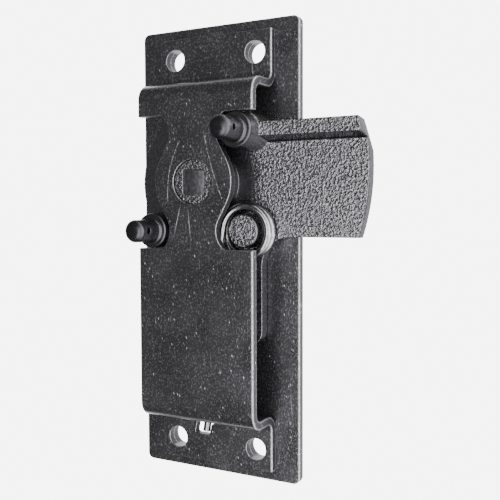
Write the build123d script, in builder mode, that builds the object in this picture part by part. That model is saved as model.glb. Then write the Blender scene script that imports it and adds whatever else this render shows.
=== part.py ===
from build123d import *
from math import acos, atan2, cos, degrees, hypot, pi, radians, sin, tan
import os

# A three-point latch for a door, upright as it is fitted, in millimetres.
# The hub axis runs along Y through the origin, the back plate's rear face lies at Y = 0 and
# the front looks along -Y. Heights below are measured forwards from that rear face.

# Back plate, whose middle lies a little to the right of the hub axis
plate_offset = 0.6
plate_width = 70.5
plate_thickness = 3.2
plate_top_margin = 12.6
plate_bottom_margin = 12.3
plate_corner_radius = 2.5

# Fixing holes through plate and strap feet
fixing_hole_radius = 4.3
fixing_spacing_x = 36.0
fixing_top_z = 49.2
fixing_bottom_z = -103.9

# Cover strap, one bent strip on the plate's middle
strap_width = 50.0
strap_thickness = 3.0
strap_raise = 15.7
strap_bend_radius = 3.4
strap_web_top = 38.2
strap_web_bottom = -92.8
foot_top_margin = 8.3
foot_bottom_margin = 8.1

# Side windows of the strap, through which the rod studs swing and where their bosses stop. The
# neck gap lies between the round pad about the hub and the relief of each stud
boss_stop_gap = 0.12
window_corner_radius = 2.0
stud_relief_radius = 8.3
neck_gap = 1.1

# Slot that takes the end of the spring: its sides lean with the spring's leg in the foot, and
# it is wider through the web, where the leg changes sides
slot_bottom_x = -5.9
slot_width = 6.9
slot_lean = 13.5
slot_bottom = -101.2
slot_height = 11.5
slot_corner_radius = 1.0
web_slot_x = -4.1
web_slot_width = 8.4
web_slot_height = 7.2
web_slot_depth = 8.5
plate_slot_height = 7.0
plate_slot_margin = 2.0

# Bolt casting: a tongue, a disc and a tail on one hub
casting_gap = 0.4
casting_thickness = 4.5
casting_edge_radius = 0.8
disc_radius = 31.9
tongue_top = 21.65
tongue_bottom = -20.8
tongue_reach = 65.3
tongue_nose_z = 4.5
tongue_nose_radius = 80.0
tongue_fillet_radius = 11.5
nose_bevel_top_x = 61.4
nose_bevel_low_x = 65.0
nose_bevel_low_z = 10.0
nose_bevel_front_x = 63.5
tail_half_width = 22.3
tail_end = -62.4
tail_corner_radius = 5.0

# Rib along the upper edge of the tongue
rib_height = 8.0
rib_width = 5.1
rib_slope = 1.6
rib_start = 20.0
rib_root_radius = 1.0

# Hub of the casting and its square socket
bearing_radius = 8.5
bearing_clearance = 0.12
collar_radius = 12.5
collar_clearance = 0.35
journal_recess = 1.0
socket_width = 9.53
socket_corner_radius = 0.5

# Rod studs and spring post, all on one circle about the hub
stud_circle_radius = 26.2
stud_angles = (45, 225)
post_angle = -45
boss_radius = 6.6
boss_draft = 3.2
boss_rise = 0.6
boss_edge_radius = 0.5
stud_radius = 4.3
stud_length = 11.8
stud_root_radius = 0.9
stud_end_radius = 1.8
cotter_hole_radius = 1.2
cotter_hole_from_tip = 4.5
post_radius = 6.4
post_draft = 1.5
post_height = 8.4
post_edge_radius = 0.6

# Over-centre spring, one wire
wire_radius = 1.5
coil_clearance = 1.3
coil_seat_gap = 0.2
coil_turn_gap = 0.1
coil_free_end_angle = -90
spring_end_x = -4.5
spring_end_gap = 1.3
spring_floor_gap = 0.25
spring_lead_length = 9.0
spring_leg_bend_radius = 14.0
spring_knee_height = 7.6
spring_knee_z = -78.0
spring_toe_length = 6.5
spring_toe_bend_radius = 6.0

# Sizes that follow from the ones above: plate and feet end at their margins past the holes
plate_top = fixing_top_z + plate_top_margin
plate_bottom = fixing_bottom_z - plate_bottom_margin
strap_foot_top = fixing_top_z + foot_top_margin
strap_foot_bottom = fixing_bottom_z - foot_bottom_margin
plate_height = plate_top - plate_bottom
plate_centre_z = (plate_top + plate_bottom) / 2
strap_back = plate_thickness + strap_raise
strap_front = strap_back + strap_thickness
casting_back = plate_thickness + casting_gap
casting_front = casting_back + casting_thickness
rib_front = casting_front + rib_height
boss_front = strap_front + boss_rise
boss_height = boss_front - casting_front
boss_foot_radius = boss_radius + boss_height * tan(radians(boss_draft))
boss_stop_radius = boss_radius + (boss_front - strap_back) * tan(radians(boss_draft))
stud_centre = stud_circle_radius * sin(radians(stud_angles[0]))
window_height = 2 * (stud_centre + boss_stop_radius + boss_stop_gap)
hub_pad_radius = stud_circle_radius - stud_relief_radius - neck_gap
neck_turn = degrees(acos((hub_pad_radius + stud_relief_radius) / stud_circle_radius))
neck_angle = radians(stud_angles[0] - neck_turn)
journal_radius = bearing_radius - bearing_clearance
journal_front = strap_front - journal_recess
stud_tip = boss_front + stud_length
coil_radius = post_radius + coil_clearance + wire_radius
coil_pitch = 2 * wire_radius + coil_turn_gap
post_x = stud_circle_radius * cos(radians(post_angle))
post_z = stud_circle_radius * sin(radians(post_angle))
os.makedirs("parts", exist_ok=True)


def slot_outline(margin, height):
    # Corners of the spring slot, grown by a margin, from its bottom up to a height
    lean = tan(radians(slot_lean))
    low = slot_bottom - margin
    left = slot_bottom_x - slot_width / 2 - margin * (1 + lean)
    right = slot_bottom_x + slot_width / 2 + margin * (1 - lean)
    rise = height * lean
    return (left, low), (right, low), (right + rise, low + height), (left + rise, low + height)


# Back plate: a flat blank with four fixing holes, the hub bearing and the spring slot
with BuildPart() as back_plate:
    with BuildSketch(Plane.XZ) as blank:
        with Locations((plate_offset, plate_centre_z)):
            RectangleRounded(plate_width, plate_height, plate_corner_radius)
        with Locations((plate_offset, (fixing_top_z + fixing_bottom_z) / 2)):
            with GridLocations(fixing_spacing_x, fixing_top_z - fixing_bottom_z, 2, 2):
                Circle(fixing_hole_radius, mode=Mode.SUBTRACT)
        Circle(bearing_radius, mode=Mode.SUBTRACT)
        Polygon(*slot_outline(plate_slot_margin, plate_slot_height), align=None, mode=Mode.SUBTRACT)
    extrude(amount=plate_thickness)
back_plate.part.label = "back_plate"
export_step(back_plate.part, "parts/back_plate.step")


# Cover strap: the side profile of the bent strip, drawn along its rear surface
with BuildPart() as cover_strap:
    with BuildSketch(Plane.YZ.offset(plate_offset)) as strip:
        with BuildLine() as rear_surface:
            FilletPolyline(
                (-plate_thickness, strap_foot_top),
                (-plate_thickness, strap_web_top - strap_thickness),
                (-strap_back, strap_web_top - strap_thickness),
                (-strap_back, strap_web_bottom + strap_thickness),
                (-plate_thickness, strap_web_bottom + strap_thickness),
                (-plate_thickness, strap_foot_bottom),
                radius=(
                    strap_bend_radius + strap_thickness,
                    strap_bend_radius,
                    strap_bend_radius,
                    strap_bend_radius + strap_thickness,
                ),
            )
            offset(amount=strap_thickness, side=Side.RIGHT)
        make_face()
    extrude(amount=strap_width / 2, both=True)
    # Windows on both sides, with a round relief for each stud and for the spring post. The neck
    # between them is tangent to the hub pad and to the reliefs
    with BuildSketch(Plane.XZ.offset(strap_back)) as windows:
        Rectangle(2 * strap_width, window_height)
        for side in (-1, 1):
            for rise in (-1, 1):
                Polygon(
                    (0, 0),
                    (side * hub_pad_radius * cos(neck_angle), rise * hub_pad_radius * sin(neck_angle)),
                    (
                        side * (stud_centre - stud_relief_radius * cos(neck_angle)),
                        rise * (stud_centre - stud_relief_radius * sin(neck_angle)),
                    ),
                    (side * stud_centre, rise * stud_centre),
                    (side * stud_centre, rise * window_height / 2),
                    (0, rise * window_height / 2),
                    align=None,
                    mode=Mode.SUBTRACT,
                )
        Circle(hub_pad_radius, mode=Mode.SUBTRACT)
        with PolarLocations(stud_circle_radius, 4, start_angle=stud_angles[0]):
            Circle(stud_relief_radius)
        Rectangle(2 * strap_width, window_height, mode=Mode.INTERSECT)
        lower_corners = windows.vertices().group_by(Axis.Y)[0]
        upper_corners = windows.vertices().group_by(Axis.Y)[-1]
        fillet(lower_corners + upper_corners, window_corner_radius)
    extrude(amount=strap_thickness, mode=Mode.SUBTRACT)
    with BuildSketch(Plane.XZ.offset(strap_back)) as bearing:
        Circle(bearing_radius)
    extrude(amount=strap_thickness, mode=Mode.SUBTRACT)
    with BuildSketch(Plane.XZ.offset(plate_thickness)) as foot_cuts:
        with Locations((plate_offset, (fixing_top_z + fixing_bottom_z) / 2)):
            with GridLocations(fixing_spacing_x, fixing_top_z - fixing_bottom_z, 2, 2):
                Circle(fixing_hole_radius)
    extrude(amount=strap_thickness, mode=Mode.SUBTRACT)
    with BuildSketch(Plane.XZ.offset(plate_thickness)) as spring_slot:
        Polygon(*slot_outline(0, slot_height), align=None)
        bottom_corners = spring_slot.vertices().group_by(Axis.Y)[0]
        fillet(bottom_corners, slot_corner_radius)
        with Locations((web_slot_x, slot_bottom + slot_height)):
            Rectangle(web_slot_width, web_slot_height, align=(Align.CENTER, Align.MAX))
    extrude(amount=web_slot_depth, mode=Mode.SUBTRACT)
cover_strap.part.label = "cover_strap"
export_step(cover_strap.part, "parts/cover_strap.step")


# Bolt casting: the outline of tongue, disc and tail, then everything that stands on it
with BuildPart() as bolt_casting:
    with BuildSketch(Plane.XZ.offset(casting_back)) as outline:
        with BuildLine() as tongue_edge:
            nose_sag_top = (tongue_top - tongue_nose_z) ** 2 / (2 * tongue_nose_radius)
            nose_sag_bottom = (tongue_bottom - tongue_nose_z) ** 2 / (2 * tongue_nose_radius)
            top_line = Line((0, tongue_top), (tongue_reach - nose_sag_top, tongue_top))
            nose = ThreePointArc(
                top_line @ 1,
                (tongue_reach, tongue_nose_z),
                (tongue_reach - nose_sag_bottom, tongue_bottom),
            )
            Polyline(nose @ 1, (0, tongue_bottom), (0, tongue_top))
        make_face()
        with Locations((0, tail_end / 2)):
            Rectangle(2 * tail_half_width, -tail_end)
        inner_corner = outline.vertices().sort_by_distance((tail_half_width, tongue_bottom))[0]
        fillet(inner_corner, tongue_fillet_radius)
        tail_corners = outline.vertices().group_by(Axis.Y)[0]
        fillet(tail_corners, tail_corner_radius)
        Circle(disc_radius)
        with PolarLocations(stud_circle_radius, 2, start_angle=stud_angles[0]):
            Circle(boss_foot_radius)
    extrude(amount=casting_thickness + rib_height)
    # Everything in front of the casting's face is cleared except the rib of the tongue
    cut_reach = 2 * (tongue_reach - tail_end)
    with BuildSketch(Plane.XZ.offset(casting_front)) as body_clearing:
        with Locations((rib_start, 0)):
            Rectangle(cut_reach, cut_reach, align=(Align.MAX, Align.CENTER))
    extrude(amount=rib_height, mode=Mode.SUBTRACT)
    with BuildSketch(Plane.YZ.offset(rib_start)) as tongue_clearing:
        with BuildLine() as under_rib:
            Polyline(
                (-casting_front, -cut_reach),
                (-casting_front, tongue_top - rib_width - rib_slope),
                (-rib_front, tongue_top - rib_width),
                (-rib_front, -cut_reach),
                close=True,
            )
        make_face()
        rib_root = tongue_clearing.vertices().sort_by_distance(
            (-casting_front, tongue_top - rib_width - rib_slope)
        )[0]
        fillet(rib_root, rib_root_radius)
    extrude(amount=cut_reach, mode=Mode.SUBTRACT)
    # Edges of the front face and the nose, softened as a casting's are
    nose_edges = bolt_casting.edges().filter_by(GeomType.CIRCLE).sort_by(Axis.X)[-2:]
    fillet(nose_edges, casting_edge_radius)
    # Bevel at the rear of the nose's upper corner, which leads the tongue behind its keeper
    bevel_top = Vector(nose_bevel_top_x, -casting_back, tongue_top)
    bevel_low = Vector(nose_bevel_low_x, -casting_back, nose_bevel_low_z)
    bevel_front = Vector(nose_bevel_front_x, -rib_front, tongue_top)
    bevel_normal = (bevel_low - bevel_top).cross(bevel_front - bevel_top)
    split(bisect_by=Plane(origin=bevel_top, z_dir=bevel_normal), keep=Keep.TOP)
    # Hub: a collar under the strap and a journal through strap and plate
    with BuildSketch(Plane.XZ.offset(casting_front)) as collar:
        Circle(collar_radius)
    extrude(amount=strap_back - collar_clearance - casting_front)
    with BuildSketch(Plane.XZ.offset(casting_gap)) as journal:
        Circle(journal_radius)
    extrude(amount=journal_front - casting_gap)
    # Spring post with its cast end
    with BuildSketch(Plane.XZ.offset(casting_front)) as post:
        with Locations((post_x, post_z)):
            Circle(post_radius)
    extrude(amount=post_height, taper=post_draft)
    post_end = bolt_casting.faces().sort_by_distance((post_x, -casting_front - post_height, post_z))[0]
    fillet(post_end.edges(), post_edge_radius)
    # Rod studs: a drafted boss that stands just proud of the strap, and the turned stud on it
    with BuildSketch(Plane.XZ.offset(casting_front)) as bosses:
        with PolarLocations(stud_circle_radius, 2, start_angle=stud_angles[0]):
            Circle(boss_foot_radius)
    extrude(amount=boss_height, taper=boss_draft)
    boss_rims = bolt_casting.faces().group_by(Axis.Y)[0].edges()
    fillet(boss_rims, boss_edge_radius)
    with BuildSketch(Plane.XZ.offset(boss_front)) as studs:
        with PolarLocations(stud_circle_radius, 2, start_angle=stud_angles[0]):
            Circle(stud_radius)
    extrude(amount=stud_length)
    stud_ends = bolt_casting.edges().group_by(Axis.Y)[0]
    fillet(stud_ends, stud_end_radius)
    for angle in stud_angles:
        stud_x = stud_circle_radius * cos(radians(angle))
        stud_z = stud_circle_radius * sin(radians(angle))
        circles = bolt_casting.edges().filter_by(GeomType.CIRCLE)
        fillet(circles.sort_by_distance((stud_x, -boss_front, stud_z))[0], stud_root_radius)
    # Cotter pin holes across the studs
    with BuildSketch(Plane.YZ) as cotter_holes:
        for angle in stud_angles:
            with Locations((-(stud_tip - cotter_hole_from_tip), stud_circle_radius * sin(radians(angle)))):
                Circle(cotter_hole_radius)
    extrude(amount=2 * stud_circle_radius, both=True, mode=Mode.SUBTRACT)
    with BuildSketch(Plane.XZ.offset(casting_gap)) as socket:
        RectangleRounded(socket_width, socket_width, socket_corner_radius)
    extrude(amount=journal_front - casting_gap, mode=Mode.SUBTRACT)
bolt_casting.part.label = "bolt_casting"
export_step(bolt_casting.part, "parts/bolt_casting.step")


# Over-centre spring: a coil about the post and a leg down to the slot
spring_end_z = slot_bottom + spring_end_gap
end_distance = hypot(spring_end_x - post_x, spring_end_z - post_z)
end_direction = degrees(atan2(spring_end_z - post_z, spring_end_x - post_x)) + 360
leave_angle = end_direction - degrees(acos(coil_radius / end_distance))
coil_turn = leave_angle + 360 - coil_free_end_angle
coil_back = casting_front + coil_seat_gap + wire_radius
coil_rise = coil_pitch * coil_turn / 360
coil_front = coil_back + coil_rise
leave_x = post_x + coil_radius * cos(radians(leave_angle))
leave_z = post_z + coil_radius * sin(radians(leave_angle))
leg_x = (spring_end_x - leave_x) / hypot(spring_end_x - leave_x, spring_end_z - leave_z)
leg_z = (spring_end_z - leave_z) / hypot(spring_end_x - leave_x, spring_end_z - leave_z)
lead_rise = spring_lead_length * coil_pitch / (2 * pi * coil_radius)
toe_height = plate_thickness + spring_floor_gap + wire_radius
knee_run = (spring_knee_z - leave_z) / leg_z
toe_run = (spring_end_z - leave_z) / leg_z - spring_toe_length
coil_plane = Plane(
    origin=(post_x, -coil_back, post_z),
    x_dir=(cos(radians(coil_free_end_angle)), 0, sin(radians(coil_free_end_angle))),
    z_dir=(0, -1, 0),
)
coil = coil_plane * Helix(coil_pitch, coil_rise, coil_radius)
with BuildPart() as over_centre_spring:
    with BuildLine() as wire_path:
        add(coil)
        FilletPolyline(
            coil @ 1,
            (
                leave_x + leg_x * spring_lead_length,
                -coil_front - lead_rise,
                leave_z + leg_z * spring_lead_length,
            ),
            (leave_x + leg_x * knee_run, -plate_thickness - spring_knee_height, spring_knee_z),
            (leave_x + leg_x * toe_run, -toe_height, leave_z + leg_z * toe_run),
            (spring_end_x, -toe_height, spring_end_z),
            radius=(spring_leg_bend_radius, spring_leg_bend_radius, spring_toe_bend_radius),
        )
    with BuildSketch(Plane(origin=coil @ 0, z_dir=coil % 0)) as wire_section:
        Circle(wire_radius)
    sweep(path=wire_path.wires()[0], is_frenet=True)
over_centre_spring.part.label = "over_centre_spring"
export_step(over_centre_spring.part, "parts/over_centre_spring.step")
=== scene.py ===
import bpy
import math
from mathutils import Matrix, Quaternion, Vector


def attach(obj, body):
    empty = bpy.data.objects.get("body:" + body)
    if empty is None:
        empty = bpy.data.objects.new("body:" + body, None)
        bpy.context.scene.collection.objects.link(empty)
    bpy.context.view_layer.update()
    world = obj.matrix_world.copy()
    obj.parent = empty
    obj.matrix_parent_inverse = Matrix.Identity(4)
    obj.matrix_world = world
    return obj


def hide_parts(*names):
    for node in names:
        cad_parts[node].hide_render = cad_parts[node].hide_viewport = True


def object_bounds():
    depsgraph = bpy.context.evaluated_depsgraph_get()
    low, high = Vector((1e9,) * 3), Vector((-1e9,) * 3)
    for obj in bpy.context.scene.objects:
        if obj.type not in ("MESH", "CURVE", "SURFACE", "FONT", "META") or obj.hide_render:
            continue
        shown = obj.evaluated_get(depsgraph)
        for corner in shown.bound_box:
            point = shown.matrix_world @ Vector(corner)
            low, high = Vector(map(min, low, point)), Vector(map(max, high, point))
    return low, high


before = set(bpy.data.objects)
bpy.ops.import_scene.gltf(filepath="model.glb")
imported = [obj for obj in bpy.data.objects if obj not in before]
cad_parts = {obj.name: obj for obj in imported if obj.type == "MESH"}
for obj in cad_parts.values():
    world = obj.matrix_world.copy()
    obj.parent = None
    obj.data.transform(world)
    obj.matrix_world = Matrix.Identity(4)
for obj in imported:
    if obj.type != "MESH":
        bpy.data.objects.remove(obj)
cadBox = [list(corner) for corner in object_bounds()]
mm = 0.001  # sizes below are in millimetres unless a name says otherwise
fullTurn = 360  # degrees


# Small helpers that the pieces, the camera and the studio share
def linearColor(hexColor):
    channels = [int(hexColor[i:i + 2], 16) / 255 for i in (1, 3, 5)]
    return [c / 12.92 if c <= 0.04045 else ((c + 0.055) / 1.055) ** 2.4 for c in channels] + [1.0]


# Adds a node with its settings and inputs: a socket is linked, a node by its first output in
# use, text is a hex colour, and a pair of keys takes a pair of values
def addNode(tree, kind, inputs=None, **settings):
    node = tree.nodes.new(kind)
    for name, value in settings.items():
        setattr(node, name, value)
    for key, value in (inputs or {}).items():
        if isinstance(value, bpy.types.Node):
            value = next(socket for socket in value.outputs if socket.enabled)
        if isinstance(value, bpy.types.NodeSocket):
            tree.links.new(value, node.inputs[key])
        elif isinstance(key, tuple):
            for single, part in zip(key, value):
                node.inputs[single].default_value = part
        else:
            node.inputs[key].default_value = linearColor(value) if isinstance(value, str) else value
    return node


def addObject(name, data):
    thing = bpy.data.objects.new(name, data)
    bpy.context.scene.collection.objects.link(thing)
    return thing


# Places a camera or a lamp and turns it to look along a direction
def placeFacing(thing, place, direction, rollDegrees=0.0):
    roll = Quaternion((0, 0, 1), math.radians(rollDegrees))
    thing.location = place
    thing.rotation_mode = "QUATERNION"
    thing.rotation_quaternion = direction.to_track_quat("-Z", "Y") @ roll


def dress(node, material):
    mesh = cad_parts[node].data
    mesh.materials.clear()
    mesh.materials.append(material)


def newMaterial(name):
    material = bpy.data.materials.new(name)
    material.use_nodes = True
    material.node_tree.nodes.clear()
    return material, material.node_tree


# A metal from its colour, roughness and relief, on normals that may be rounded at the edges
def finishMetal(tree, look, base, roughness, height, rounded=None):
    relief = {"Height": height, "Distance": look["bump"] * mm, "Strength": look["bumpStrength"]}
    if rounded:
        relief["Normal"] = rounded
    bump = addNode(tree, "ShaderNodeBump", relief)
    shader = addNode(tree, "ShaderNodeBsdfPrincipled", {
        "Base Color": base, "Metallic": look["metallic"], "Roughness": roughness, "Normal": bump})
    addNode(tree, "ShaderNodeOutputMaterial", {"Surface": shader})


# Coordinates on the piece in millimetres, or in cells with a width and a length up the latch
def millimetres(tree, width=1.0, length=1.0, leanDegrees=0.0):
    place = addNode(tree, "ShaderNodeTexCoord").outputs["Object"]
    lean = (0, math.radians(leanDegrees), 0)
    turned = addNode(tree, "ShaderNodeMapping", {0: place, "Rotation": lean})
    scale = [1 / mm / size for size in (width, width, length)]
    return addNode(tree, "ShaderNodeMapping", {0: turned, "Scale": scale})


# Where a sharp edge is rubbed and painted with a highlight: the rounded normal turns away from the face's
# own
def wornHighlitEdge(tree, rounded, softness):
    own = addNode(tree, "ShaderNodeNewGeometry").outputs["Normal"]
    same = addNode(tree, "ShaderNodeVectorMath", {0: rounded, 1: own}, operation="DOT_PRODUCT")
    return addNode(tree, "ShaderNodeMapRange", {0: same, (1, 2): (1.0, 1.0 - softness)})


# Zinc plated cold-rolled steel strip: dark and satin with fine mottling, tumbled so that it
# carries small bright nicks and a few long hair scratches, and rubbed bright at its edges, where a painted
# highlight is added to the wear.
# Mottling, nicks and scratches are finer on the real strip, and as coarse here as they need to show
plate = {
    "steel": "#626266", "pale": "#a2a2a5", "rubbedAndHighlight": "#e6e6e8", "cutEdge": "#444448",
    "slotShade": "#1c1c1e", "metallic": 0.92, "bump": 0.09, "bumpStrength": 0.8,
    "roughness": (0.25, 0.34), "cutRoughness": 0.5, "speckRoughness": 0.06, "markRoughness": 0.14,
    "cloudSize": 16.0, "cloudRange": (0.35, 0.65), "noiseDetail": 3.0,
    "mottleWidth": 0.55, "mottleLength": 0.825, "speckRange": (0.52, 0.72),
    "nickWidth": 0.8, "nickLength": 2.4, "nickLean": 12.0, "nickFade": (0.26, 0.10),
    "nickPick": (0.78, 1.0),
    "scratchWidth": 0.55, "scratchLength": 26.0, "scratchLeans": (6.0, -14.0),
    "scratchRange": (0.8, 0.9), "scratchStrength": (0.0, 0.6),
    "rubArcs": (
        {"centre": (27.4, 0, -4.4), "radius": 38.4, "heights": (-8.0, 15.5)},
        {"centre": (119.1, 0, 40.1), "radius": 115.8, "heights": (-6.5, 18.0)},
    ),
    "rubWidth": (0.24, 0.0), "rubStrength": (0.0, 0.65), "rubBreaks": (0.35, 0.55),
    "edgeRadius": 0.4, "rightEdgeRadius": 1.1, "rightEdgeRange": (19.0, 22.0), "bevelSamples": 6,
    "wearSoftness": 0.12, "wearBreaks": (0.35, 0.6), "wearShare": (0.35, 1.0),
    "cutFacing": (0.4, 0.6), "slotPlace": (-5.5, 0, -96.0), "slotReach": 9.5, "wallFacing": 0.3,
}


def rolledSteel(name, look):
    material, tree = newMaterial(name)
    even = millimetres(tree)
    flat = addNode(tree, "ShaderNodeVectorMath", {0: even, 1: (1, 0, 1)}, operation="MULTIPLY")
    place = addNode(tree, "ShaderNodeSeparateXYZ", {0: even}).outputs
    normal = addNode(tree, "ShaderNodeNewGeometry").outputs["Normal"]
    turned = addNode(tree, "ShaderNodeVectorMath", {0: normal}, operation="ABSOLUTE")
    facing = addNode(tree, "ShaderNodeSeparateXYZ", {0: turned}).outputs
    clouds = addNode(tree, "ShaderNodeTexNoise", {
        0: even, "Scale": 1 / look["cloudSize"], "Detail": look["noiseDetail"]})
    mottle = addNode(tree, "ShaderNodeTexNoise", {
        0: millimetres(tree, look["mottleWidth"], look["mottleLength"]),
        "Scale": 1.0, "Detail": look["noiseDetail"]})
    specks = addNode(tree, "ShaderNodeMapRange", {0: mottle, (1, 2): look["speckRange"]})
    # short nicks, one in some of the cells
    nickSpace = millimetres(tree, look["nickWidth"], look["nickLength"], look["nickLean"])
    nicks = addNode(tree, "ShaderNodeTexVoronoi", {0: nickSpace, "Scale": 1.0}).outputs
    core = addNode(tree, "ShaderNodeMapRange", {0: nicks["Distance"], (1, 2): look["nickFade"]})
    chance = addNode(tree, "ShaderNodeSeparateColor", {0: nicks["Color"]})
    chosen = addNode(tree, "ShaderNodeMapRange", {0: chance, (1, 2): look["nickPick"]})
    marks = addNode(tree, "ShaderNodeMath", {0: core, 1: chosen}, operation="MULTIPLY")
    # long hair scratches, leaning a little either way
    for lean in look["scratchLeans"]:
        scratches = addNode(tree, "ShaderNodeTexNoise", {
            0: millimetres(tree, look["scratchWidth"], look["scratchLength"], lean),
            "Scale": 1.0, "Detail": 0.0})
        line = addNode(tree, "ShaderNodeMapRange", {
            0: scratches, (1, 2): look["scratchRange"], (3, 4): look["scratchStrength"]})
        marks = addNode(tree, "ShaderNodeMath", {0: marks, 1: line}, operation="MAXIMUM")
    # faint curved marks that turning parts have rubbed beside the hub
    breaks = addNode(tree, "ShaderNodeMapRange", {0: mottle, (1, 2): look["rubBreaks"]})
    for arc in look["rubArcs"]:
        low, high = arc["heights"]
        away = addNode(tree, "ShaderNodeVectorMath", {0: flat, 1: arc["centre"]}, operation="DISTANCE")
        offset = addNode(tree, "ShaderNodeMath", {0: away, 1: arc["radius"]}, operation="SUBTRACT")
        gap = addNode(tree, "ShaderNodeMath", {0: offset}, operation="ABSOLUTE")
        line = addNode(tree, "ShaderNodeMapRange", {
            0: gap, (1, 2): look["rubWidth"], (3, 4): look["rubStrength"]})
        inside = addNode(tree, "ShaderNodeMath", {
            0: place["Z"], 1: (low + high) / 2, 2: (high - low) / 2}, operation="COMPARE")
        shown = addNode(tree, "ShaderNodeMath", {0: inside, 1: breaks}, operation="MULTIPLY")
        rub = addNode(tree, "ShaderNodeMath", {0: line, 1: shown}, operation="MULTIPLY")
        marks = addNode(tree, "ShaderNodeMath", {0: marks, 1: rub}, operation="MAXIMUM")
    # edges at the latch's right-hand side are rounded wider, and so carry a wider painted highlight
    radii = (look["edgeRadius"] * mm, look["rightEdgeRadius"] * mm)
    radius = addNode(tree, "ShaderNodeMapRange", {
        0: place["X"], (1, 2): look["rightEdgeRange"], (3, 4): radii})
    rounded = addNode(tree, "ShaderNodeBevel", {"Radius": radius}, samples=look["bevelSamples"])
    # the rubbed edges carry a painted highlight, broken up by the mottling
    wear = addNode(tree, "ShaderNodeMapRange", {
        0: mottle, (1, 2): look["wearBreaks"], (3, 4): look["wearShare"]})
    edges = wornHighlitEdge(tree, rounded, look["wearSoftness"])
    wornAndHighlit = addNode(tree, "ShaderNodeMath", {0: edges, 1: wear}, operation="MULTIPLY")
    bright = addNode(tree, "ShaderNodeMath", {0: marks, 1: wornAndHighlit}, operation="MAXIMUM")
    # the sheared sides of the strip are rougher and darker than its rolled faces
    cut = addNode(tree, "ShaderNodeMapRange", {0: facing["X"], (1, 2): look["cutFacing"]})
    notWornHighlit = addNode(tree, "ShaderNodeMath", {0: 1.0, 1: wornAndHighlit}, operation="SUBTRACT")
    rougher = addNode(tree, "ShaderNodeMath", {0: cut, 1: notWornHighlit}, operation="MULTIPLY")
    # painted shade darkens the walls of the spring slot
    fromSlot = addNode(tree, "ShaderNodeVectorMath", {0: flat, 1: look["slotPlace"]}, operation="DISTANCE")
    near = addNode(tree, "ShaderNodeMath", {0: fromSlot, 1: look["slotReach"]}, operation="LESS_THAN")
    wall = addNode(tree, "ShaderNodeMath", {0: facing["Y"], 1: look["wallFacing"]}, operation="LESS_THAN")
    inSlot = addNode(tree, "ShaderNodeMath", {0: near, 1: wall}, operation="MULTIPLY")
    base = look["steel"]
    for share, layer in ((specks, "pale"), (cut, "cutEdge"), (bright, "rubbedAndHighlight"), (inSlot, "slotShade")):
        base = addNode(tree, "ShaderNodeMix", {0: share, 6: base, 7: look[layer]}, data_type="RGBA")
    roughness = addNode(tree, "ShaderNodeMapRange", {
        0: clouds, (1, 2): look["cloudRange"], (3, 4): look["roughness"]})
    roughness = addNode(tree, "ShaderNodeMix", {0: rougher, 2: roughness, 3: look["cutRoughness"]})
    for share, extra in ((specks, "speckRoughness"), (marks, "markRoughness")):
        roughness = addNode(tree, "ShaderNodeMath", {
            0: share, 1: look[extra], 2: roughness}, operation="MULTIPLY_ADD")
    height = addNode(tree, "ShaderNodeMath", {0: mottle, 1: marks}, operation="SUBTRACT")
    finishMetal(tree, look, base, roughness, height, rounded)
    return material


# Zinc plated malleable iron, sand cast: flat faces keep the pebbled skin of the sand, which
# glitters, drafted walls and turned studs are smooth, and the broached socket is dull.
# The pebbles are coarser than the sand's own grain, as far as they need to show
casting = {
    "iron": "#a0a0a4", "hollow": "#66666a", "smooth": "#6e6e72", "rubbedAndHighlight": "#b4b4b7",
    "stud": "#5a5a5e", "studEnd": "#4c4c50", "nose": "#4c4c50", "under": "#3a3a3e",
    "socket": "#848488", "socketDirt": "#545458", "metallic": 0.94, "bump": 1.0, "bumpStrength": 1.0,
    "roughness": (0.16, 0.24), "smoothRoughness": (0.22, 0.32), "noiseRange": (0.35, 0.65),
    "socketRoughness": 0.6,
    "pebble": 1.0, "pebbleDetail": 2.0, "pebbleRoughness": 0.6, "pebbleContrast": (0.40, 0.60),
    "pebbleHeight": 0.55, "grain": 1.6, "grainDetail": 3.0, "grainHeight": 0.02,
    "flatFacing": (0.80, 0.95), "skinFront": -21.6,
    "dressedReach": (17.0, 23.0), "dressedSide": (-16.0, -6.0), "dressedSkin": (0.15, 1.0),
    "discFront": -9.0, "hubReach": (9.0, 12.0), "hubSkin": (0.8, 1.0),
    "noseFrom": 60.5, "noseFacing": (0.75, 0.97), "underFacing": (-0.5, -0.9),
    "socketReach": 7.2, "streakRange": (0.30, 0.75),
    "studRange": (-20.5, -21.5), "studEndRange": (-32.1, -32.6),
    "domeRange": (-32.6, -33.6), "domeRadius": 3.6, "edgeRadius": 0.4, "bevelSamples": 8,
    "wearSoftness": 0.12, "wearShare": 0.4,
}


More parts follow.
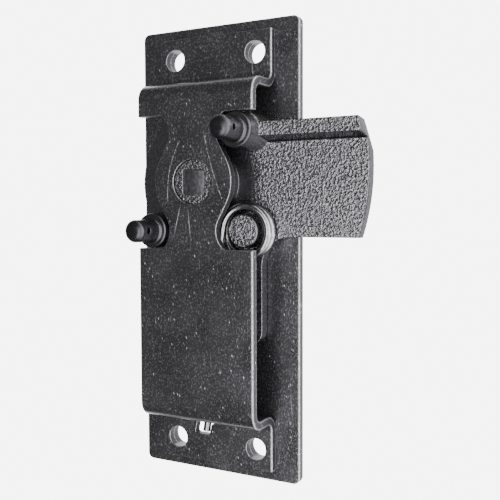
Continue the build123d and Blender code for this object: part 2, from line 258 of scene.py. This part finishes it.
def castIron(name, look):
    material, tree = newMaterial(name)
    even = millimetres(tree)
    place = addNode(tree, "ShaderNodeSeparateXYZ", {0: even}).outputs
    normal = addNode(tree, "ShaderNodeNewGeometry").outputs["Normal"]
    facing = addNode(tree, "ShaderNodeSeparateXYZ", {0: normal}).outputs
    pebbles = addNode(tree, "ShaderNodeTexNoise", {
        0: even, "Scale": 1 / look["pebble"], "Detail": look["pebbleDetail"],
        "Roughness": look["pebbleRoughness"]})
    grain = addNode(tree, "ShaderNodeTexNoise", {
        0: even, "Scale": 1 / look["grain"], "Detail": look["grainDetail"]})
    # how far each place is from the hub's axis, which runs through the origin
    flat = addNode(tree, "ShaderNodeVectorMath", {0: even, 1: (1, 0, 1)}, operation="MULTIPLY")
    reach = addNode(tree, "ShaderNodeVectorMath", {0: flat}, operation="LENGTH")
    # the sand's skin lies on the flat faces, but not on the stud ends ahead of them
    squareOn = addNode(tree, "ShaderNodeMath", {0: facing["Y"]}, operation="ABSOLUTE")
    flatness = addNode(tree, "ShaderNodeMapRange", {0: squareOn, (1, 2): look["flatFacing"]})
    steepness = addNode(tree, "ShaderNodeMath", {0: 1.0, 1: flatness}, operation="SUBTRACT")
    behindStuds = addNode(tree, "ShaderNodeMath", {
        0: place["Y"], 1: look["skinFront"]}, operation="GREATER_THAN")
    skin = addNode(tree, "ShaderNodeMath", {0: flatness, 1: behindStuds}, operation="MULTIPLY")
    # the disc's face round the hub and its far side are dressed nearly smooth
    fromHub = addNode(tree, "ShaderNodeMapRange", {
        0: reach, (1, 2): look["dressedReach"], (3, 4): look["dressedSkin"]})
    fromSide = addNode(tree, "ShaderNodeMapRange", {
        0: place["X"], (1, 2): look["dressedSide"], (3, 4): look["dressedSkin"]})
    undressed = addNode(tree, "ShaderNodeMath", {0: fromHub, 1: fromSide}, operation="MINIMUM")
    # what stands ahead of the disc keeps its skin, a little fainter on the hub
    ahead = addNode(tree, "ShaderNodeMath", {0: place["Y"], 1: look["discFront"]}, operation="LESS_THAN")
    fainter = addNode(tree, "ShaderNodeMapRange", {
        0: reach, (1, 2): look["hubReach"], (3, 4): look["hubSkin"]})
    keptAhead = addNode(tree, "ShaderNodeMath", {0: ahead, 1: fainter}, operation="MULTIPLY")
    kept = addNode(tree, "ShaderNodeMath", {0: undressed, 1: keptAhead}, operation="MAXIMUM")
    skin = addNode(tree, "ShaderNodeMath", {0: skin, 1: kept}, operation="MULTIPLY")
    # the tongue's end wall has the skin too
    atNose = addNode(tree, "ShaderNodeMath", {0: place["X"], 1: look["noseFrom"]}, operation="GREATER_THAN")
    noseWall = addNode(tree, "ShaderNodeMath", {0: atNose, 1: steepness}, operation="MULTIPLY")
    skin = addNode(tree, "ShaderNodeMath", {0: skin, 1: noseWall}, operation="MAXIMUM")
    nearAxis = addNode(tree, "ShaderNodeMath", {0: reach, 1: look["socketReach"]}, operation="LESS_THAN")
    inSocket = addNode(tree, "ShaderNodeMath", {0: nearAxis, 1: steepness}, operation="MULTIPLY")
    # the stud ends are shaded as domes, and every other edge as slightly rounded
    radii = (look["edgeRadius"] * mm, look["domeRadius"] * mm)
    radius = addNode(tree, "ShaderNodeMapRange", {
        0: place["Y"], (1, 2): look["domeRange"], (3, 4): radii})
    rounded = addNode(tree, "ShaderNodeBevel", {"Radius": radius}, samples=look["bevelSamples"])
    # the edges behind the studs are rubbed and carry a painted highlight
    edges = wornHighlitEdge(tree, rounded, look["wearSoftness"])
    wornAndHighlit = addNode(tree, "ShaderNodeMath", {0: edges, 1: behindStuds}, operation="MULTIPLY")
    rubbedAndHighlight = addNode(tree, "ShaderNodeMath", {0: wornAndHighlit, 1: look["wearShare"]}, operation="MULTIPLY")
    tops = addNode(tree, "ShaderNodeMapRange", {0: pebbles, (1, 2): look["pebbleContrast"]})
    skinColor = addNode(tree, "ShaderNodeMix", {
        0: tops, 6: look["hollow"], 7: look["iron"]}, data_type="RGBA")
    # the studs are darker than the walls below them, and their domed ends darker still with painted shade
    smoothColor = look["smooth"]
    for layer in ("stud", "studEnd"):
        share = addNode(tree, "ShaderNodeMapRange", {0: place["Y"], (1, 2): look[layer + "Range"]})
        smoothColor = addNode(tree, "ShaderNodeMix", {
            0: share, 6: smoothColor, 7: look[layer]}, data_type="RGBA")
    # painted shade: the tongue's end wall is darker where it curves away from facing right
    endOn = addNode(tree, "ShaderNodeMapRange", {0: facing["X"], (1, 2): look["noseFacing"]})
    noseColor = addNode(tree, "ShaderNodeMix", {
        0: endOn, 6: look["under"], 7: look["nose"]}, data_type="RGBA")
    # painted shade darkens the undersides, and old oil darkens the socket in streaks
    under = addNode(tree, "ShaderNodeMapRange", {0: facing["Z"], (1, 2): look["underFacing"]})
    streaks = addNode(tree, "ShaderNodeMapRange", {0: grain, (1, 2): look["streakRange"]})
    socketColor = addNode(tree, "ShaderNodeMix", {
        0: streaks, 6: look["socketDirt"], 7: look["socket"]}, data_type="RGBA")
    base = smoothColor
    layers = ((skin, skinColor), (rubbedAndHighlight, look["rubbedAndHighlight"]), (noseWall, noseColor),
              (under, look["under"]), (inSocket, socketColor))
    for share, layer in layers:
        base = addNode(tree, "ShaderNodeMix", {0: share, 6: base, 7: layer}, data_type="RGBA")
    smoothRoughness = addNode(tree, "ShaderNodeMapRange", {
        0: grain, (1, 2): look["noiseRange"], (3, 4): look["smoothRoughness"]})
    skinRoughness = addNode(tree, "ShaderNodeMapRange", {
        0: pebbles, (1, 2): look["noiseRange"], (3, 4): look["roughness"]})
    roughness = addNode(tree, "ShaderNodeMix", {0: skin, 2: smoothRoughness, 3: skinRoughness})
    roughness = addNode(tree, "ShaderNodeMix", {0: inSocket, 2: roughness, 3: look["socketRoughness"]})
    smoothHeight = addNode(tree, "ShaderNodeMath", {0: grain, 1: look["grainHeight"]}, operation="MULTIPLY")
    skinHeight = addNode(tree, "ShaderNodeMath", {0: pebbles, 1: look["pebbleHeight"]}, operation="MULTIPLY")
    height = addNode(tree, "ShaderNodeMix", {0: skin, 2: smoothHeight, 3: skinHeight})
    finishMetal(tree, look, base, roughness, height, rounded)
    return material


# Hard drawn spring wire, zinc plated: bright and smooth, with faint mottling from the draw
wire = {
    "radius": 1.5, "sides": 24, "bendSteps": 10, "turnSteps": 40, "sideCorners": 4,
    "postCircle": 26.2, "postAngle": -45.0, "coilRadius": 9.2, "coilPitch": 3.1, "coilBack": 9.8,
    "freeEndAngle": -90.0, "endX": -4.5, "endZ": -99.9, "leadLength": 9.0, "legBendRadius": 14.0,
    "kneeHeight": 7.6, "kneeZ": -78.0, "toeLength": 6.5, "toeBendRadius": 6.0,
    "plateThickness": 3.2, "floorGap": 0.25,
    "steel": "#b2b2b4", "dull": "#8a8a8d", "metallic": 1.0, "roughness": (0.14, 0.26),
    "cloudSize": 1.66667, "cloudDetail": 4.0, "cloudRange": (0.4, 0.65),
    "drawMark": 0.333333, "drawDetail": 2.0, "drawRange": (0.3, 0.7), "bump": 0.02, "bumpStrength": 0.5,
}


def drawnWire(name, look):
    material, tree = newMaterial(name)
    even = millimetres(tree)
    clouds = addNode(tree, "ShaderNodeTexNoise", {
        0: even, "Scale": 1 / look["cloudSize"], "Detail": look["cloudDetail"]})
    fine = addNode(tree, "ShaderNodeTexNoise", {
        0: even, "Scale": 1 / look["drawMark"], "Detail": look["drawDetail"]})
    dullness = addNode(tree, "ShaderNodeMapRange", {0: clouds, (1, 2): look["cloudRange"]})
    base = addNode(tree, "ShaderNodeMix", {
        0: dullness, 6: look["steel"], 7: look["dull"]}, data_type="RGBA")
    roughness = addNode(tree, "ShaderNodeMapRange", {
        0: fine, (1, 2): look["drawRange"], (3, 4): look["roughness"]})
    finishMetal(tree, look, base, roughness, fine)
    return material


# The wire's path: each point with the radius that rounds its corner
def springPath(look):
    postX = look["postCircle"] * math.cos(math.radians(look["postAngle"]))
    postZ = look["postCircle"] * math.sin(math.radians(look["postAngle"]))
    reachX = look["endX"] - postX
    reachZ = look["endZ"] - postZ
    # the eye ends where its tangent points at the wire's end in the slot
    towardsEnd = math.degrees(math.atan2(reachZ, reachX)) + fullTurn
    tangentLead = math.degrees(math.acos(look["coilRadius"] / math.hypot(reachX, reachZ)))
    turn = towardsEnd - tangentLead + fullTurn - look["freeEndAngle"]
    steps = round(look["turnSteps"] * turn / fullTurn)
    climb = look["coilPitch"] * turn / fullTurn
    points = []
    for step in range(steps + 1):
        angle = math.radians(look["freeEndAngle"] + turn * step / steps)
        x = postX + look["coilRadius"] * math.cos(angle)
        y = -look["coilBack"] - climb * step / steps
        z = postZ + look["coilRadius"] * math.sin(angle)
        points.append((Vector((x, y, z)), 0.0))
    leave = points[-1][0]
    toEnd = Vector((look["endX"] - leave.x, 0, look["endZ"] - leave.z)).normalized()
    leadClimb = look["leadLength"] * look["coilPitch"] / (2 * math.pi * look["coilRadius"])
    lead = leave + toEnd * look["leadLength"] - Vector((0, leadClimb, 0))
    knee = leave + toEnd * (look["kneeZ"] - leave.z) / toEnd.z
    knee.y = -look["plateThickness"] - look["kneeHeight"]
    endY = -look["plateThickness"] - look["floorGap"] - look["radius"]
    end = Vector((look["endX"], endY, look["endZ"]))
    toe = end - toEnd * look["toeLength"]
    return points + [(lead, look["legBendRadius"]), (knee, look["legBendRadius"]),
                     (toe, look["toeBendRadius"]), (end, 0.0)]


# A round wire along any path: corners rounded by each point's radius, then a tube about it
def wireTree(material):
    tree = bpy.data.node_groups.new("round wire along a path", "GeometryNodeTree")
    tree.interface.new_socket("Geometry", in_out="INPUT", socket_type="NodeSocketGeometry")
    tree.interface.new_socket("Wire radius", in_out="INPUT", socket_type="NodeSocketFloat")
    for label in ("Sides", "Bend steps"):
        tree.interface.new_socket(label, in_out="INPUT", socket_type="NodeSocketInt")
    tree.interface.new_socket("Geometry", in_out="OUTPUT", socket_type="NodeSocketGeometry")
    given = addNode(tree, "NodeGroupInput").outputs
    bendRadius = addNode(tree, "GeometryNodeInputRadius")
    rounded = addNode(tree, "GeometryNodeFilletCurve", {
        "Curve": given["Geometry"], "Count": given["Bend steps"], "Radius": bendRadius,
        "Limit Radius": True}, mode="POLY")
    even = addNode(tree, "GeometryNodeSetCurveRadius", {"Curve": rounded, "Radius": 1.0})
    section = addNode(tree, "GeometryNodeCurvePrimitiveCircle", {
        "Resolution": given["Sides"], "Radius": given["Wire radius"]})
    tube = addNode(tree, "GeometryNodeCurveToMesh", {
        "Curve": even, "Profile Curve": section, "Fill Caps": True})
    whole = addNode(tree, "GeometryNodeRealizeInstances", {0: tube})
    dressed = addNode(tree, "GeometryNodeSetMaterial", {0: whole, "Material": material})
    addNode(tree, "NodeGroupOutput", {0: dressed})
    return tree


def makeSpring(look):
    curve = bpy.data.curves.new("spring path", "CURVE")
    curve.dimensions = "3D"
    path = springPath(look)
    spline = curve.splines.new("POLY")
    spline.points.add(len(path) - 1)
    for point, (place, bendRadius) in zip(spline.points, path):
        point.co = (*(place * mm), 1.0)
        point.radius = bendRadius * mm
    builder = addObject("spring builder", curve)
    tree = wireTree(drawnWire("zinc plated spring wire", look))
    modifier = builder.modifiers.new("wire", "NODES")
    modifier.node_group = tree
    chosen = {"Wire radius": look["radius"] * mm, "Sides": look["sides"], "Bend steps": look["bendSteps"]}
    for item in tree.interface.items_tree:
        if item.in_out == "INPUT" and item.name in chosen:
            modifier[item.identifier] = chosen[item.name]
    seen = builder.evaluated_get(bpy.context.evaluated_depsgraph_get())
    mesh = bpy.data.meshes.new_from_object(seen)
    bpy.data.objects.remove(builder)
    # the wire's side is smooth, and its two ends are flat
    for face in mesh.polygons:
        face.use_smooth = len(face.vertices) <= look["sideCorners"]
    spring = addObject("coiled_spring", mesh)
    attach(spring, "spring")
    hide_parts("over_centre_spring")


dress("back_plate", rolledSteel("zinc plated steel plate", plate))
dress("cover_strap", rolledSteel("zinc plated steel strip", plate))
dress("bolt_casting", castIron("zinc plated malleable iron", casting))
print("metals dressed")
makeSpring(wire)
print("spring wound")


# Camera at the photograph's viewing angle
cameraView = {
    "place": (151.1, -259.4, -10.6), "aim": (10.3, 5.0, -26.8), "rollDegrees": -0.19,
    "lens": 53.57, "sensorWidth": 36,
}


def placeCamera(view):
    data = bpy.data.cameras.new("camera")
    data.lens = view["lens"]
    data.sensor_width = view["sensorWidth"]
    camera = addObject("camera", data)
    place = Vector(view["place"]) * mm
    placeFacing(camera, place, Vector(view["aim"]) * mm - place, view["rollDegrees"])
    bpy.context.scene.camera = camera


placeCamera(cameraView)
print("camera placed")


# A pale studio: bright paper behind and below, a dark room in front and soft lights
studio = {
    "paper": "#fffcfc", "paperGlow": 7.0, "sideGlow": (0.0, 4.5), "room": 0.13,
    "rightTowards": (0.95, 0.31, 0.0), "rightFrom": (-0.05, 0.85),
    "behindTowards": (0.0, 1.0, 0.0), "behindFrom": (0.24, 0.62),
    "fadeRange": (0.68, 0.92), "fade": (1.0, 0.2),
    "floorDrop": 260.0, "floorSize": 3000.0,
    "front": {"place": (100, -900, -250), "size": (480, 1100), "watts": 7.8},
    "top": {"place": (150, -150, 900), "size": (300, 300), "watts": 0.4},
}


def addSoftLight(name, light):
    data = bpy.data.lights.new(name, "AREA")
    data.shape = "RECTANGLE"
    data.size, data.size_y = (side * mm for side in light["size"])
    data.energy = light["watts"]
    place = Vector(light["place"]) * mm
    placeFacing(addObject(name, data), place, -place)


def layFloor(look):
    low = min(corner[2] for corner in cadBox) - look["floorDrop"] * mm
    half = look["floorSize"] * mm / 2
    corners = [(-half, -half, low), (half, -half, low), (half, half, low), (-half, half, low)]
    mesh = bpy.data.meshes.new("floor")
    mesh.from_pydata(corners, [], [(0, 1, 2, 3)])
    floor = addObject("floor", mesh)
    material, tree = newMaterial("studio paper")
    seen = addNode(tree, "ShaderNodeLightPath").outputs["Is Camera Ray"]
    dim = addNode(tree, "ShaderNodeBsdfDiffuse", {"Color": look["paper"]})
    lit = addNode(tree, "ShaderNodeEmission", {"Color": look["paper"], "Strength": look["paperGlow"]})
    shader = addNode(tree, "ShaderNodeMixShader", {0: seen, 1: dim, 2: lit})
    addNode(tree, "ShaderNodeOutputMaterial", {"Surface": shader})
    mesh.materials.append(material)
    floor.visible_glossy = False
    floor.visible_diffuse = False
    floor.visible_shadow = False


# The camera sees bright paper all round, and the metals reflect a room with two bright sides
def lightRoom(look):
    world = bpy.data.worlds.new("studio")
    world.use_nodes = True
    bpy.context.scene.world = world
    tree = world.node_tree
    tree.nodes.clear()
    seen = addNode(tree, "ShaderNodeLightPath").outputs["Is Camera Ray"]
    direction = addNode(tree, "ShaderNodeTexCoord").outputs["Generated"]
    glow = look["room"]
    for side in ("right", "behind"):
        towards = addNode(tree, "ShaderNodeVectorMath", {
            0: direction, 1: look[side + "Towards"]}, operation="DOT_PRODUCT")
        sideGlow = addNode(tree, "ShaderNodeMapRange", {
            0: towards, (1, 2): look[side + "From"], (3, 4): look["sideGlow"]})
        glow = addNode(tree, "ShaderNodeMath", {0: glow, 1: sideGlow}, operation="MAXIMUM")
    # straight behind, the room is dimmer, so the latch's back doesn't bleach
    depth = addNode(tree, "ShaderNodeSeparateXYZ", {0: direction}).outputs["Y"]
    fade = addNode(tree, "ShaderNodeMapRange", {
        0: depth, (1, 2): look["fadeRange"], (3, 4): look["fade"]})
    glow = addNode(tree, "ShaderNodeMath", {0: glow, 1: fade}, operation="MULTIPLY")
    strength = addNode(tree, "ShaderNodeMix", {0: seen, 2: glow, 3: look["paperGlow"]})
    back = addNode(tree, "ShaderNodeBackground", {"Color": look["paper"], "Strength": strength})
    addNode(tree, "ShaderNodeOutputWorld", {0: back})


layFloor(studio)
lightRoom(studio)
for side in ("front", "top"):
    addSoftLight(side + " light", studio[side])
print("studio lit")
